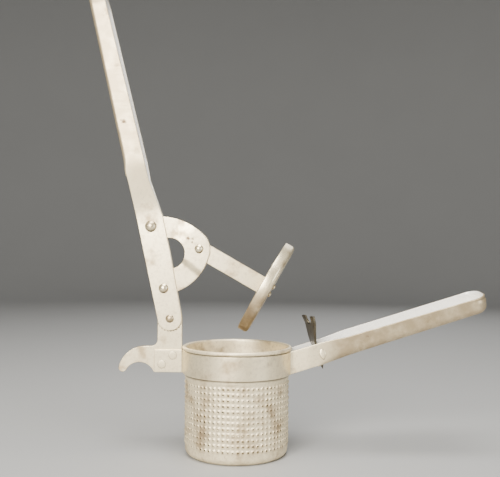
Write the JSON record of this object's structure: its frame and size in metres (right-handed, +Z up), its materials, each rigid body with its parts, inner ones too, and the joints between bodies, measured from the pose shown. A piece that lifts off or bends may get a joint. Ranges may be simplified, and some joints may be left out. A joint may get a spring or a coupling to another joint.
{
  "type": "potato ricer",
  "caption": "Hand potato ricer of riveted sheet steel: perforated basket held in a ring on the lower handle, hinged lever, swinging plunger, pot hook and forked latch.",
  "frame": {"origin": "middle of the basket's base, on the face that the basket stands on", "axes": "+Z up the basket's axis, +X along the lower handle, +Y across the tool"},
  "size_m": [0.3017, 0.0828, 0.3481],
  "materials": {
    "basket_tin": "worn tinned sheet steel, satin, warm grey, perforated",
    "rim_wire_steel": "plain drawn wire",
    "handle_tin": "worn tinned sheet steel, satin, faint yellow stain",
    "hook_steel": "worn tinned plate steel, satin",
    "lever_tin": "worn tinned sheet steel, satin, faint yellow stain",
    "bracket_tin": "worn tinned sheet steel, satin, brown spots",
    "plunger_tin": "worn tinned sheet steel, satin, brown stains on the pressing face",
    "latch_tin": "worn tinned sheet steel, satin",
    "rivet_steel": "steel rivet, tinned over"
  },
  "bodies": {
    "frame": {"lower_handle": "handle_tin", "hook_plate": "hook_steel", "clamp_rivet_lower": "rivet_steel", "clamp_rivet_upper": "rivet_steel", "lever_pivot_rivet": "rivet_steel", "latch_pin": "rivet_steel"},
    "basket": {"basket": "basket_tin", "rim_wire": "rim_wire_steel"},
    "lever": {"upper_handle": "lever_tin", "bracket_plate_near": "bracket_tin", "bracket_plate_far": "bracket_tin", "bracket_rivet_upper": "rivet_steel", "bracket_rivet_lower": "rivet_steel", "plunger_pivot_rivet": "rivet_steel"},
    "plunger": {"plunger_arm": "plunger_tin", "plunger_disc": "plunger_tin"},
    "latch": {"basket_latch": "latch_tin"}
  },
  "joints": [
    {"name": "lever_turn", "type": "hinge", "parent": "frame", "child": "lever", "pos_m": [-0.05108, 0, 0.1005], "axis": [0, 1, 0], "range_deg": [-90, 18]},
    {"name": "plunger_swing", "type": "hinge", "parent": "lever", "child": "plunger", "pos_m": [-0.02946, 0, 0.15336], "axis": [0, 1, 0], "range_deg": [-78, 26]},
    {"name": "basket_lift", "type": "slide", "parent": "frame", "child": "basket", "axis": [0, 0, 1], "range_m": [0, 0.007]},
    {"name": "latch_turn", "type": "hinge", "parent": "frame", "child": "latch", "pos_m": [0.0638, 0, 0.0752], "axis": [0, 1, 0], "range_deg": [-20, 75]}
  ]
}
